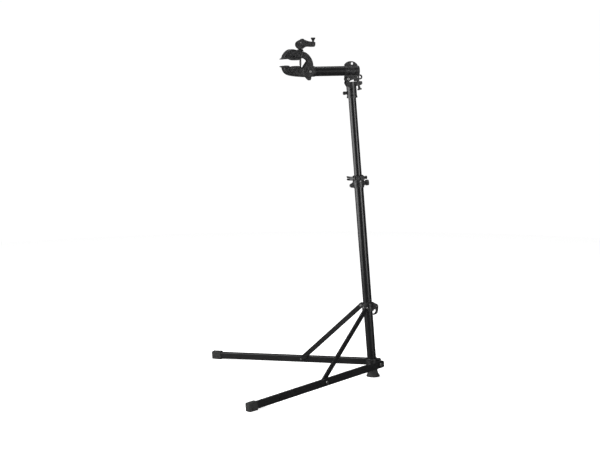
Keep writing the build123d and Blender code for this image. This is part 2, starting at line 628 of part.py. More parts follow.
# ---- arm head: barrel, fin, knuckle and swing-bolt fork ----
with BuildPart() as arm_head:
    with BuildSketch(arm_axis.offset(-37)):
        Circle(20.6)
    extrude(amount=37 + ARM_START - 0.3)
    chamfer(arm_head.faces().sort_by(Axis(arm_origin, arm_axis.z_dir))[0].edges(), 1.5)
    with BuildSketch(arm_side):
        with BuildLine():
            Polyline((31, 15), (31, 23.5))
            ThreePointArc((31, 23.5), (6, 39.5), (-24.6, 25))
            Polyline((-24.6, 25), (-24.8, 21.4), (-21.8, 21.2), (-21.8, 15), (31, 15))
        make_face()
        with Locations((8, 29.7)):
            Circle(5.4, mode=Mode.SUBTRACT)
    extrude(amount=4.5, both=True)
    with BuildSketch(mast_side):
        with BuildLine():
            Polyline((-22.4, 1285), (-22.4, 1276.6), (-24.9, 1276.2), on_knuckle(180))
            ThreePointArc(on_knuckle(180), on_knuckle(236), on_knuckle(292))
            Polyline(on_knuckle(292), (10.8, 1259.8), (15, 1260), (15, 1251.4), (33.5, 1251.4),
                     (34.5, 1275), (34.5, 1285), (-22.4, 1285))
        make_face()
    extrude(amount=KNUCKLE_HALF, both=True)
    with BuildSketch(side_of_mast(*RING_AT)):
        Circle(10.6)
        Circle(4.8, mode=Mode.SUBTRACT)
    extrude(amount=10.5)
    with BuildSketch(side_of_mast(RING_AT[0] + 5, RING_AT[1])):
        Rectangle(16, 24)
    extrude(amount=6, mode=Mode.SUBTRACT)
    with BuildSketch(side_of_mast(0, 0)):
        with Locations((SWING_PIN[0] + 9, 1262)):
            Rectangle(34, 28)
    extrude(amount=5.2, both=True, mode=Mode.SUBTRACT)
    with BuildSketch(side_of_mast(*TILT_HINGE)):
        Circle(4.0 + FIT)
    extrude(amount=40, both=True, mode=Mode.SUBTRACT)
    with BuildSketch(side_of_mast(*SWING_PIN)):
        Circle(2.5)
    extrude(amount=40, both=True, mode=Mode.SUBTRACT)
    with BuildSketch(arm_axis.offset(ARM_START - 1)):
        Circle(ARM_ID / 2 - FIT)
    extrude(amount=45)
finish(arm_head, "arm_head")

with BuildPart() as swing_bolt_pin:
    with BuildSketch(side_of_mast(*SWING_PIN).offset(-11.5)):
        Circle(2.5)
    extrude(amount=23)
finish(swing_bolt_pin, "swing_bolt_pin")

# Swing bolt: an eye on the pin and a threaded shank through the socket's slot.
swing = radians(SWING_TILT)
bolt_down = (mast.z_dir * -cos(swing) + mast.x_dir * sin(swing)).normalized()
swing_axis = Plane(origin=point_on_mast(SWING_PIN[0], 0, SWING_PIN[1]), x_dir=(0, 1, 0), z_dir=bolt_down)
with BuildPart() as swing_bolt:
    with BuildSketch(side_of_mast(*SWING_PIN)):
        Circle(6.5)
    extrude(amount=4.8, both=True)
    with BuildSketch(swing_axis.offset(3)):
        Circle(4.0)
    extrude(amount=45)
    with BuildSketch(side_of_mast(*SWING_PIN)):
        Circle(2.5 + FIT)
    extrude(amount=40, both=True, mode=Mode.SUBTRACT)
finish(swing_bolt, "swing_bolt")

with BuildPart() as tilt_lock_knob:
    with BuildSketch(swing_axis.offset(38.4)):
        Circle(5.0)
    extrude(amount=11.1)
    with BuildSketch(swing_axis.offset(48)):
        Rectangle(9.0, 17)
    extrude(amount=6.5)
    with BuildSketch(swing_axis.offset(30)):
        Circle(4.0 + FIT)
    extrude(amount=19.5, mode=Mode.SUBTRACT)
finish(tilt_lock_knob, "tilt_lock_knob")

# ---- arm ----
with BuildPart() as arm_tube:
    with BuildSketch(arm_axis.offset(ARM_START)):
        Circle(ARM_OD / 2)
        Circle(ARM_ID / 2, mode=Mode.SUBTRACT)
    extrude(amount=ARM_END - ARM_START)
finish(arm_tube, "arm_tube")

# ---- clamp: fixed upper jaw and frame ----
NOSE = (-291, 50.6)
UPPER_FACE = [(-268, 52.0), (-261.4, 54.2), (-253.4, 51.0), (-245.4, 48.2), (-234, 47.2), (-218, 48.0)]
PAD_THICK = 5.6
upper_seat = [(x, y + PAD_THICK) for x, y in UPPER_FACE]
CHEEK_RADIUS = 24.6
CHEEK_HALF = 22.0
TONGUE_HALF = 12.0
SHOULDER_RADIUS = 21.8
# Recesses in both sides of the jaws: two centres, width and depth of each.
UPPER_RECESSES = [((-276, 65), (-263, 82), 4.6, 2.4), ((-267, 63), (-252, 84), 4.6, 2.4),
                  ((-230, 63), (-219, 80), 4.6, 2.4), ((-249, 63), (-241, 62), 8.0, 6.0)]
LOWER_RECESSES = [((-271, 11), (-263, -3), 4.6, 2.4), ((-260, 7), (-249, -9), 4.6, 2.4),
                  ((-246, 9), (-233, -12), 4.6, 2.4)]

with BuildPart() as clamp_frame:
    with BuildSketch(arm_side):
        with BuildLine():
            Polyline((-284, 57.4), upper_seat[0])
            Spline(*upper_seat)
            Polyline(upper_seat[-1], (-214, 53.2), (-207, 54.6))
            ThreePointArc((-207, 54.6), (-190, 51.5), (-181.8, 43))
            cheek_top = (JAW_PIVOT[0] - CHEEK_RADIUS * cos(radians(20)), CHEEK_RADIUS * sin(radians(20)))
            Polyline((-181.8, 43), (-195.6, 23.5), (-197.6, 17), cheek_top)
            CenterArc(JAW_PIVOT, CHEEK_RADIUS, 160, 110)
            Polyline((JAW_PIVOT[0], -CHEEK_RADIUS), (-166, -21.6), (-159, -21.6), (-159, 22))
            Spline((-159, 22), (-160.5, 34), (-164.5, 48), (-173, 62.5), (-185, 74.5), (-199, 81.5),
                   (-220, 86.8),
                   (-236, 90.4), (-248, 92.3), (-257.5, 90.2), (-266.5, 84.6), (-275, 76), (-280.5, 67),
    (-284, 57.4))
        make_face()
    extrude(amount=JAW_WIDTH / 2, both=True)
    # Behind the rod the frame narrows to its cheeks.
    for side in (1, -1):
        with BuildSketch(side_of_arm(0, 0).offset(side * JAW_WIDTH / 2)):
            with BuildLine():
                Polyline((-192, 110), (-206, 62), (-206, -40), (-120, -40), (-120, 110), (-192, 110))
            make_face()
        extrude(amount=-side * (JAW_WIDTH / 2 - CHEEK_HALF), mode=Mode.SUBTRACT)
    # Spigot in the arm tube, and a round shoulder against the tube's end.
    with BuildSketch(arm_axis.offset(120)):
        Circle(ARM_ID / 2)
    extrude(amount=40)
    with BuildSketch(arm_axis.offset(ARM_END)):
        Circle(SHOULDER_RADIUS)
    extrude(amount=10)
    with BuildSketch(arm_side):
        with BuildLine():
            Polyline((-159.2, -40), (-159.2, 12), (-168, 20), (-188, 24), (-204, 24), (-204, -40),
                     (-159.2, -40))
        make_face()
    extrude(amount=TONGUE_HALF + GAP, both=True, mode=Mode.SUBTRACT)
    with BuildSketch(above_arm(ROD_AT, 40)):
        Circle(5.5)
    extrude(amount=80, mode=Mode.SUBTRACT)
    with BuildSketch(above_arm(ROD_AT, 83.4)):
        Circle(15)
    extrude(amount=30, mode=Mode.SUBTRACT)
    with BuildSketch(side_of_arm(*JAW_PIVOT)):
        Circle(4.0)
    extrude(amount=60, both=True, mode=Mode.SUBTRACT)
    for side in (1, -1):
        for start, end, width, depth in UPPER_RECESSES:
            run = Vector(*end) - Vector(*start)
            with BuildSketch(side_of_arm(*start).offset(side * JAW_WIDTH / 2)):
                with Locations((run.X / 2, run.Y / 2)):
                    SlotCenterToCenter(run.length, width, rotation=degrees(atan2(run.Y, run.X)))
            extrude(amount=-side * depth, mode=Mode.SUBTRACT)
finish(clamp_frame, "clamp_frame")

with BuildPart() as upper_jaw_pad:
    with BuildSketch(arm_side):
        with BuildLine():
            Polyline((-284, 57.4), upper_seat[0])
            Spline(*upper_seat)
            Polyline(upper_seat[-1], (-214, 53.2), (-214, 48.8), UPPER_FACE[-1])
            Spline(*UPPER_FACE[::-1])
            Polyline(UPPER_FACE[0], NOSE, (-291, 53.2), (-284, 57.4))
        make_face()
    extrude(amount=JAW_WIDTH / 2 + 1, both=True)
finish(upper_jaw_pad, "upper_jaw_pad")

# Lower jaw: swings on the pivot, its tongue between the frame's cheeks.
LOWER_SEAT = [(-284, 17.4), (-267, 19.6), (-261, 18.8), (-255, 11.6), (-247, 14.8), (-240, 16.4),
              (-218, 17.2)]
LOWER_TOP = [(-292, 23.4), (-267, 25.6), (-261, 24.9), (-255, 17.6), (-247, 20.8), (-240, 22.4),
             (-218, 23.0)]
with BuildPart() as lower_jaw:
    with BuildSketch(arm_side):
        with BuildLine():
            Polyline(*LOWER_SEAT, (-213, 17.2), (-199, 16.2), (-197.6, 0), (-180, -22.4), (-200, -22.4))
            Polyline((-200, -22.4), (-224, -20.4))
            Spline((-224, -20.4), (-240, -18), (-254, -15.2), (-266, -10.6), (-275, -3.6), (-280.8, 6),
                   (-284, 17.4))
        make_face()
        with Locations(JAW_PIVOT):
            Circle(CHEEK_RADIUS + 0.8, mode=Mode.SUBTRACT)
    extrude(amount=JAW_WIDTH / 2, both=True)
    with BuildSketch(arm_side):
        with BuildLine():
            Polyline((-210, 15), (-197, 15.6), (-180, 13), (-173, 13))
            ThreePointArc((-173, 13), (-160, 0), (-173, -13))
            Polyline((-173, -13), (-190, -20), (-210, -20), (-210, 15))
        make_face()
    extrude(amount=TONGUE_HALF, both=True)
    # Slot that lets the rod lean in the jaw as it opens.
    with BuildSketch(arm_side):
        with BuildLine():
            Polyline((-217.5, -16), (-217.5, 40), (-188, 40), (-192, 16), (-201, -16), (-217.5, -16))
        make_face()
    extrude(amount=4.6, both=True, mode=Mode.SUBTRACT)
    with BuildSketch(side_of_arm(*BARREL_NUT)):
        Circle(7.0 + FIT)
    extrude(amount=15.5, both=True, mode=Mode.SUBTRACT)
    with BuildSketch(side_of_arm(*JAW_PIVOT)):
        Circle(4.0 + FIT)
    extrude(amount=60, both=True, mode=Mode.SUBTRACT)
    # Slot for the release trigger.
    with BuildSketch(arm_side):
        with BuildLine():
            Polyline((-202, -40), (-202, 4), (-190, 14), (-150, 14), (-150, -40), (-202, -40))
        make_face()
    extrude(amount=5.2, both=True, mode=Mode.SUBTRACT)
    for side in (1, -1):
        for start, end, width, depth in LOWER_RECESSES:
            run = Vector(*end) - Vector(*start)
            with BuildSketch(side_of_arm(*start).offset(side * JAW_WIDTH / 2)):
                with Locations((run.X / 2, run.Y / 2)):
                    SlotCenterToCenter(run.length, width, rotation=degrees(atan2(run.Y, run.X)))
            extrude(amount=-side * depth, mode=Mode.SUBTRACT)
finish(lower_jaw, "lower_jaw")

with BuildPart() as lower_jaw_pad:
    with BuildSketch(arm_side):
        with BuildLine():
            Polyline(*LOWER_TOP, (-216.5, 23.0), (-216.5, 17.2), *LOWER_SEAT[::-1])
            Polyline(LOWER_SEAT[0], (-292, 21.0), LOWER_TOP[0])
        make_face()
    extrude(amount=JAW_WIDTH / 2 + 1, both=True)
finish(lower_jaw_pad, "lower_jaw_pad")

with BuildPart() as rod_barrel_nut:
    with BuildSketch(side_of_arm(*BARREL_NUT)):
        Circle(7.0)
    extrude(amount=15, both=True)
    with BuildSketch(above_arm(ROD_AT, -20)):
        Circle(ROD_DIA / 2 + 1.5)
    extrude(amount=60, mode=Mode.SUBTRACT)
finish(rod_barrel_nut, "rod_barrel_nut")

with BuildPart() as jaw_pivot_pin:
    with BuildSketch(side_of_arm(*JAW_PIVOT).offset(-CHEEK_HALF - 1)):
        Circle(4.0)
    extrude(amount=2 * CHEEK_HALF + 2)
    with BuildSketch(side_of_arm(*JAW_PIVOT).offset(CHEEK_HALF)):
        Circle(6.2)
    extrude(amount=2.2)
    with BuildSketch(side_of_arm(*JAW_PIVOT).offset(-CHEEK_HALF - 2.2)):
        Circle(6.2)
    extrude(amount=2.2)
finish(jaw_pivot_pin, "jaw_pivot_pin")

with BuildPart() as release_trigger:
    with BuildSketch(arm_side):
        with BuildLine():
            Polyline((-180.5, -2), (-193.5, -17), (-192, -21.5), (-180.5, -34), (-176, -36.5),
                     (-168, -35.5),
                     (-165, -29), (-164.5, -3))
            ThreePointArc((-164.5, -3), (-173, 8.5), (-180.5, -2))
        make_face()
        with Locations(JAW_PIVOT):
            Circle(4.0 + FIT, mode=Mode.SUBTRACT)
    extrude(amount=4.8, both=True)
finish(release_trigger, "release_trigger")

# Threaded rod with an eye at the top, and the saddle washer under the cam.
with BuildPart() as clamp_rod:
    with BuildSketch(above_arm(ROD_AT, -14)):
        Circle(ROD_DIA / 2)
    extrude(amount=CAM_PIN[1] + 14)
    with BuildSketch(above_arm(ROD_AT, 26.5)):
        Circle(SLEEVE_DIA / 2)
    extrude(amount=64)
    with BuildSketch(side_of_arm(*CAM_PIN)):
        Circle(6.5)
    extrude(amount=5.0, both=True)
    with BuildSketch(side_of_arm(*CAM_PIN)):
        Circle(3.0 + FIT)
    extrude(amount=30, both=True, mode=Mode.SUBTRACT)
finish(clamp_rod, "clamp_rod")

with BuildPart() as cam_washer:
    with BuildSketch(arm_side):
        with BuildLine():
            Polyline((ROD_AT + SLEEVE_DIA / 2, 83.7), (ROD_AT + 14.2, 83.7), (ROD_AT + 13.4, 86),
                     (ROD_AT + 10.6, 91.2),
                     (ROD_AT + SLEEVE_DIA / 2, 91.2), (ROD_AT + SLEEVE_DIA / 2, 83.7))
        make_face()
    revolve(axis=Axis(above_arm(ROD_AT, 0).origin, arm_side.y_dir))
finish(cam_washer, "cam_washer")

TIP_CENTRE = (-154.5, 111.6)
with BuildPart() as cam_lever:
    with BuildSketch(arm_side):
        with BuildLine():
            Spline((-207, 91.7), (-217, 93.2), (-225, 101), (-228, 110), (-225.5, 119), (-214, 127.4),
                   (-203, 133.8))
            Spline((-203, 133.8), (-196.5, 133.0), (-190, 122), (-189, 110), (-194, 98), (-201, 92.2),
                   (-207, 91.7))
        make_face()
    extrude(amount=12.5, both=True)
    with BuildSketch(arm_side):
        with BuildLine():
            Spline((-203, 133.4), (-196, 131.6), (-181, 125.4), (-164, 121.9), (-151, 120.8))
            ThreePointArc((-151, 120.8), (-148, 119.6), (-146.8, 116.8))
            Line((-146.8, 116.8), (-147.4, 107))
            ThreePointArc((-147.4, 107), (-150.5, 101.6), (-156, 100.2))
            Spline((-156, 100.2), (-170, 100.6), (-184, 100.8), (-194, 96.8))
            Polyline((-194, 96.8), (-206, 112), (-203, 133.4))
        make_face()
    extrude(amount=9.5, both=True)
    with BuildSketch(side_of_arm(*CAM_PIN)):
        Circle(8)
        with Locations((-17.5, -21)):
            Rectangle(49, 50)
    extrude(amount=5.4, both=True, mode=Mode.SUBTRACT)
    with BuildSketch(side_of_arm(*CAM_PIN)):
        Circle(3.0)
    extrude(amount=30, both=True, mode=Mode.SUBTRACT)
    with BuildSketch(above_arm(TIP_CENTRE[0], 105)):
        Circle(2.5 + FIT)
    extrude(amount=30, mode=Mode.SUBTRACT)
finish(cam_lever, "cam_lever")

with BuildPart() as cam_pin:
    with BuildSketch(side_of_arm(*CAM_PIN).offset(-13.2)):
        Circle(3.0)
    extrude(amount=26.4)
finish(cam_pin, "cam_pin")

with BuildPart() as lever_tip_knob:
    with BuildSketch(arm_side):
        with BuildLine():
            x = TIP_CENTRE[0]
            Polyline((x, 106), (x + 2.5, 106), (x + 2.5, 121.4), (x + 4.4, 121.6), (x + 4.4, 125),
                     (x + 9.6, 135),
                     (x + 9.6, 137), (x + 7.6, 138.2), (x, 138.2), (x, 106))
        make_face()
    revolve(axis=Axis(above_arm(TIP_CENTRE[0], 0).origin, arm_side.y_dir))
finish(lever_tip_knob, "lever_tip_knob")
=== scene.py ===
"""Bike repair stand: materials, finer pieces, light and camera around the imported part. Metres."""

import json
from math import cos, pi, radians, sin

import bmesh
import bpy
from mathutils import Matrix, Vector


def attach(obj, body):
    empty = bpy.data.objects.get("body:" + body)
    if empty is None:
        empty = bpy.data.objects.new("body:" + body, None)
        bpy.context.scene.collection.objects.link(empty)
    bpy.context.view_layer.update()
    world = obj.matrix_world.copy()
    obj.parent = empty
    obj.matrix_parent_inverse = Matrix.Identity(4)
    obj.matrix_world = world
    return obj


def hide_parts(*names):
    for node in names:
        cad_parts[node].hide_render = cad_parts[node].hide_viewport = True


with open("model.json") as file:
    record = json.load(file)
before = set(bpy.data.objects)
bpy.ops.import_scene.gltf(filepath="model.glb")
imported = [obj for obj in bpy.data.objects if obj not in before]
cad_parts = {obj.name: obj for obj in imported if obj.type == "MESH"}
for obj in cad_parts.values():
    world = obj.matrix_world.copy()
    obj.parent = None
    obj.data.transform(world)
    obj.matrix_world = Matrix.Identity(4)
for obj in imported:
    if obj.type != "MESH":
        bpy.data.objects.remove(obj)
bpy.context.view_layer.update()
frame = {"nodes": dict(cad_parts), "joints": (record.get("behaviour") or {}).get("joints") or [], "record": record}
scene = bpy.context.scene
MM = 0.001

# ---- frames, from the part's joints ----
joint_at = {}
joint_axis = {}
for joint in frame["joints"]:
    joint_at[joint["name"]] = Vector(joint.get("pos_m", (0, 0, 0)))
    joint_axis[joint["name"]] = Vector(joint["axis"]).normalized()


def placed(origin, x, z):
    """Matrix of a frame in millimetres with that origin, x direction and z direction."""
    y = z.cross(x).normalized()
    turn = Matrix((x, y, z)).transposed().to_4x4()
    return Matrix.Translation(origin) @ turn @ Matrix.Scale(MM, 4)


VIEWER_SIDE = Vector((0, -1, 0))
ACROSS = Vector((0, 1, 0))
mast_up = joint_axis["mast_slide"]
mast_out = Vector((mast_up.z, 0, -mast_up.x))
mast = placed(Vector((0, 0, 0)), mast_out, mast_up)
arm_dir = joint_axis["arm_turn"]
arm_origin = joint_at["arm_turn"]
arm_side = placed(arm_origin, -arm_dir, VIEWER_SIDE)
arm = placed(arm_origin, ACROSS, arm_dir)
leg_out = joint_axis["leg_right_fold"]
leg_pivot = joint_at["leg_right_fold"]
to_strut = joint_at["strut_right_turn"] - leg_pivot
leg_dir = (to_strut - leg_out * to_strut.dot(leg_out)).normalized()
leg_end_on = placed(leg_pivot, leg_out, leg_dir)


# ---- materials ----
class Paint:
    """A Principled material whose procedural parts are placed by the object's own metres."""

    def __init__(self, name, colour, roughness, **sockets):
        self.material = bpy.data.materials.new(name)
        self.material.use_nodes = True
        self.tree = self.material.node_tree
        self.shader = self.tree.nodes["Principled BSDF"]
        self.place = self.tree.nodes.new("ShaderNodeTexCoord").outputs["Object"]
        self.shader.inputs["Base Color"].default_value = (*colour, 1)
        self.shader.inputs["Roughness"].default_value = roughness
        for socket, value in sockets.items():
            self.shader.inputs[socket.replace("_", " ")].default_value = value
        self.bump_normal = None

    def noise(self, scale, detail=4.0, rough=0.55, stretch=(1, 1, 1)):
        mapping = self.tree.nodes.new("ShaderNodeMapping")
        mapping.inputs["Scale"].default_value = stretch
        self.tree.links.new(self.place, mapping.inputs["Vector"])
        texture = self.tree.nodes.new("ShaderNodeTexNoise")
        texture.inputs["Scale"].default_value = scale
        texture.inputs["Detail"].default_value = detail
        texture.inputs["Roughness"].default_value = rough
        self.tree.links.new(mapping.outputs["Vector"], texture.inputs["Vector"])
        return texture.outputs["Fac"]

    def cells(self, scale):
        texture = self.tree.nodes.new("ShaderNodeTexVoronoi")
        texture.inputs["Scale"].default_value = scale
        self.tree.links.new(self.place, texture.inputs["Vector"])
        return texture.outputs["Distance"]

    def spread(self, value, low, high, to_low, to_high):
        node = self.tree.nodes.new("ShaderNodeMapRange")
        node.inputs["From Min"].default_value = low
        node.inputs["From Max"].default_value = high
        node.inputs["To Min"].default_value = to_low
        node.inputs["To Max"].default_value = to_high
        self.tree.links.new(value, node.inputs["Value"])
        return node.outputs["Result"]

    def mix(self, factor, first, second):
        """A colour between first and second; each is a colour or the output of another mix."""
        node = self.tree.nodes.new("ShaderNodeMix")
        node.data_type = "RGBA"
        self.tree.links.new(factor, node.inputs["Factor"])
        for value, socket in ((first, node.inputs[6]), (second, node.inputs[7])):
            if isinstance(value, bpy.types.NodeSocket):
                self.tree.links.new(value, socket)
            else:
                socket.default_value = (*value, 1)
        return node.outputs[2]

    def edges(self, radius):
        """1 on edges sharper than the radius, 0 on open faces."""
        soft = self.tree.nodes.new("ShaderNodeBevel")
        soft.samples = 4
        soft.inputs["Radius"].default_value = radius
        plain = self.tree.nodes.new("ShaderNodeNewGeometry")
        dot = self.tree.nodes.new("ShaderNodeVectorMath")
        dot.operation = "DOT_PRODUCT"
        self.tree.links.new(soft.outputs["Normal"], dot.inputs[0])
        self.tree.links.new(plain.outputs["Normal"], dot.inputs[1])
        return self.spread(dot.outputs["Value"], 1.0, 0.82, 0.0, 1.0)

    def times(self, first, second):
        node = self.tree.nodes.new("ShaderNodeMath")
        node.operation = "MULTIPLY"
        self.tree.links.new(first, node.inputs[0])
        self.tree.links.new(second, node.inputs[1])
        return node.outputs["Value"]

    def colour_from(self, output):
        self.tree.links.new(output, self.shader.inputs["Base Color"])

    def roughness_from(self, output):
        self.tree.links.new(output, self.shader.inputs["Roughness"])

    def bump(self, height, distance, strength):
        node = self.tree.nodes.new("ShaderNodeBump")
        node.inputs["Strength"].default_value = strength
        node.inputs["Distance"].default_value = distance
        self.tree.links.new(height, node.inputs["Height"])
        if self.bump_normal is not None:
            self.tree.links.new(self.bump_normal, node.inputs["Normal"])
        self.bump_normal = node.outputs["Normal"]
        self.tree.links.new(self.bump_normal, self.shader.inputs["Normal"])


def make_materials():
    made = {}

    tube = Paint("satin_black_powder_coat", (0.006, 0.006, 0.0065), 0.3,
                 Coat_Weight=0.3, Coat_Roughness=0.16)
    tube.colour_from(tube.mix(tube.noise(26, 5), (0.005, 0.005, 0.0055), (0.009, 0.009, 0.0095)))
    tube.roughness_from(tube.spread(tube.noise(14, 6, 0.6), 0.3, 0.7, 0.26, 0.35))
    tube.bump(tube.noise(850, 2), 0.0001, 0.12)
    tube.bump(tube.noise(70, 2), 0.0002, 0.04)
    made["tube_black"] = tube.material

    cast = Paint("textured_black_casting", (0.008, 0.008, 0.0085), 0.36,
                 Coat_Weight=0.2, Coat_Roughness=0.22)
    mottle = cast.mix(cast.spread(cast.noise(120, 6, 0.7), 0.4, 0.62, 0, 1),
                      (0.003, 0.003, 0.0032), (0.026, 0.026, 0.027))
    # Lighter colour on the rounded edges: partly edge wear, partly a painted highlight for light caught on the
    # edges.
    edge_wear_and_highlight = cast.times(cast.edges(0.0013), cast.spread(cast.noise(90, 4), 0.36, 0.6, 0.1, 0.8))
    cast.colour_from(cast.mix(edge_wear_and_highlight, mottle, (0.075, 0.075, 0.078)))
    cast.roughness_from(cast.spread(cast.noise(90, 5), 0.3, 0.7, 0.28, 0.46))
    cast.bump(cast.noise(1500, 3, 0.6), 0.0002, 0.4)
    cast.bump(cast.noise(150, 3), 0.0012, 0.5)
    made["casting_black"] = cast.material

    steel = Paint("zinc_plated_steel", (0.66, 0.66, 0.64), 0.28, Metallic=1.0)
    steel.colour_from(steel.mix(steel.noise(500, 4), (0.34, 0.34, 0.34), (0.52, 0.515, 0.50)))
    steel.roughness_from(steel.spread(steel.noise(900, 4), 0.3, 0.7, 0.2, 0.4))
    steel.bump(steel.noise(1300, 3, stretch=(1, 1, 6)), 0.0001, 0.25)
    made["bright_steel"] = steel.material

    oxide = Paint("black_oxide_steel", (0.06, 0.06, 0.062), 0.36, Metallic=1.0)
    oxide.colour_from(oxide.mix(oxide.noise(420, 5), (0.045, 0.045, 0.048), (0.11, 0.105, 0.10)))
    oxide.roughness_from(oxide.spread(oxide.noise(600, 4), 0.3, 0.7, 0.26, 0.46))
    oxide.bump(oxide.noise(1600, 3), 0.0001, 0.3)
    made["black_steel"] = oxide.material

    rubber = Paint("moulded_black_rubber", (0.017, 0.017, 0.017), 0.78)
    scuffed = rubber.mix(rubber.spread(rubber.noise(120, 6, 0.7), 0.4, 0.7, 0, 1),
                         (0.012, 0.012, 0.012), (0.027, 0.027, 0.026))
    # Lighter colour on the edges: partly dust, partly a painted highlight for light caught on the edges.
    edge_dust_and_highlight = rubber.times(rubber.edges(0.0012), rubber.spread(rubber.noise(300, 4), 0.42, 0.6, 0, 0.6))
    rubber.colour_from(rubber.mix(edge_dust_and_highlight, scuffed, (0.075, 0.073, 0.07)))
    rubber.roughness_from(rubber.spread(rubber.noise(200, 4), 0.3, 0.7, 0.66, 0.88))
    rubber.bump(rubber.noise(1100, 4, 0.65), 0.00025, 0.5)
    made["rubber_black"] = rubber.material

    pad = Paint("grippy_pad_rubber", (0.02, 0.02, 0.021), 0.66)
    pad.colour_from(pad.mix(pad.spread(pad.noise(150, 5), 0.35, 0.7, 0, 1),
                            (0.013, 0.013, 0.013), (0.03, 0.03, 0.031)))
    pad.roughness_from(pad.spread(pad.noise(260, 4), 0.3, 0.7, 0.55, 0.76))
    pad.bump(pad.cells(1100), 0.0003, 0.35)
    made["jaw_pad"] = pad.material

    plastic = Paint("spark_textured_plastic", (0.018, 0.018, 0.019), 0.46)
    plastic.colour_from(plastic.mix(plastic.noise(200, 5), (0.013, 0.013, 0.014), (0.026, 0.026, 0.027)))
    plastic.roughness_from(plastic.spread(plastic.noise(180, 4), 0.3, 0.7, 0.38, 0.54))
    plastic.bump(plastic.noise(2300, 3, 0.7), 0.0002, 0.5)
    made["plastic_black"] = plastic.material
    return made


materials = make_materials()
slot_of = {row["node"]: row["material_slot"] for row in frame["record"]["subparts"]}
body_of = {}
for body, members in frame["record"]["behaviour"]["bodies"].items():
    for member in members:
        body_of[member] = body


def dress(piece, slot):
    piece.data.materials.clear()
    piece.data.materials.append(materials[slot])


WELD_DISTANCE = 2e-6    # metres
SAME_FACE_WITHIN = 0.6  # degrees
EDGE_FROM = 28          # degrees


def soften(node, width):
    """Welds a CAD node's facets into faces and rounds its edges by width, in millimetres."""
    piece = frame["nodes"][node]
    weld = piece.modifiers.new("weld", "WELD")
    weld.merge_threshold = WELD_DISTANCE
    flat = piece.modifiers.new("faces", "DECIMATE")
    flat.decimate_type = "DISSOLVE"
    flat.angle_limit = radians(SAME_FACE_WITHIN)
    bevel = piece.modifiers.new("edges", "BEVEL")
    bevel.width = width * MM
    bevel.segments = 2
    bevel.limit_method = "ANGLE"
    bevel.angle_limit = radians(EDGE_FROM)
    weighted = piece.modifiers.new("normals", "WEIGHTED_NORMAL")
    weighted.keep_sharp = True
    piece.data.polygons.foreach_set("use_smooth", [True] * len(piece.data.polygons))


USUAL_EDGE = 0.25
SOFT_EDGES = {
    "base_bracket": 0.9, "leg_collar": 0.8, "mid_clamp_body": 0.7, "head_socket": 0.8, "arm_head": 0.8,
    "clamp_frame": 1.2, "lower_jaw": 1.2, "cam_lever": 1.0, "collar_lever": 1.0, "mid_clamp_lever": 0.7,
    "release_trigger": 1.0, "tilt_lock_knob": 0.8, "strut_right": 0.3, "strut_left": 0.3,
    "leg_tube_right": 0.2, "leg_tube_left": 0.2,
}
for node, piece in frame["nodes"].items():
    dress(piece, slot_of[node])
    soften(node, SOFT_EDGES.get(node, USUAL_EDGE))


# ---- building blocks ----
def publish(name, mesh, place, body, slot, stands_for=(), crease=32):
    """Turns a bmesh made in millimetres in that frame into a piece that rides a body."""
    mesh.transform(place)
    bmesh.ops.recalc_face_normals(mesh, faces=mesh.faces[:])
    data = bpy.data.meshes.new(name)
    mesh.to_mesh(data)
    mesh.free()
    data.polygons.foreach_set("use_smooth", [True] * len(data.polygons))
    data.set_sharp_from_angle(angle=radians(crease))
    piece = bpy.data.objects.new(name, data)
    scene.collection.objects.link(piece)
    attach(piece, body)
    dress(piece, slot)
    if stands_for:
        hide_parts(*stands_for)
    return piece


def mirrored(mesh):
    """The left-hand copy of a bmesh that is already in the row frame."""
    copy = mesh.copy()
    copy.transform(Matrix.Scale(-1, 4, ACROSS))
    bmesh.ops.reverse_faces(copy, faces=copy.faces[:])
    return copy


def lathe(mesh, profile, segments=64, shape=None, closed=False):
    """Revolves (radius, height) points about local z; shape(angle, radius, height) changes the radius."""
    rings = []
    for radius, height in profile:
        if radius < 1e-6:
            rings.append([mesh.verts.new((0, 0, height))])
            continue
        ring = []
        for k in range(segments):
            angle = 2 * pi * k / segments
            r = shape(angle, radius, height) if shape else radius
            ring.append(mesh.verts.new((r * cos(angle), r * sin(angle), height)))
        rings.append(ring)
    pairs = list(zip(rings, rings[1:]))
    if closed:
        pairs.append((rings[-1], rings[0]))
    for low, high in pairs:
        for k in range(segments):
            n = (k + 1) % segments
            corners = [low[k % len(low)], low[n % len(low)], high[n % len(high)], high[k % len(high)]]
            corners = list(dict.fromkeys(corners))
            if len(corners) > 2:
                mesh.faces.new(corners)
    return mesh


def turned(profile, segments=64, shape=None, closed=False):
    return lathe(bmesh.new(), profile, segments, shape, closed)


def curve_through(points, steps=8):
    """Catmull-Rom points through the given ones."""
    padded = [points[0], *points, points[-1]]
    out = []
    for a, b, c, d in zip(padded, padded[1:], padded[2:], padded[3:]):
        for k in range(steps):
            t = k / steps
            out.append(tuple(0.5 * (2 * q + (r - p) * t + (2 * p - 5 * q + 4 * r - s) * t * t
                                    + (3 * q - p - 3 * r + s) * t ** 3) for p, q, r, s in zip(a, b, c, d)))
    out.append(tuple(points[-1]))
    return out


def band(mesh, low, high, flip=False):
    """Faces between two closed rings of vertices."""
    for k in range(len(low)):
        n = (k + 1) % len(low)
        corners = (low[k], low[n], high[n], high[k])
        mesh.faces.new(corners[::-1] if flip else corners)


def inset(outline, distance):
    """The closed outline, counter-clockwise, moved inwards by distance."""
    count = len(outline)
    moved = []
    for k in range(count):
        before, here, after = Vector(outline[k - 1]), Vector(outline[k]), Vector(outline[(k + 1) % count])
        one, two = (here - before).normalized(), (after - here).normalized()
        left = Vector((-(one.y + two.y), one.x + two.x))
        if left.length < 1e-6:
            left = Vector((-one.y, one.x))
        left.normalize()
        share = max(0.45, left.dot(Vector((-one.y, one.x))))
        moved.append(here + left * (distance / share))
    return moved


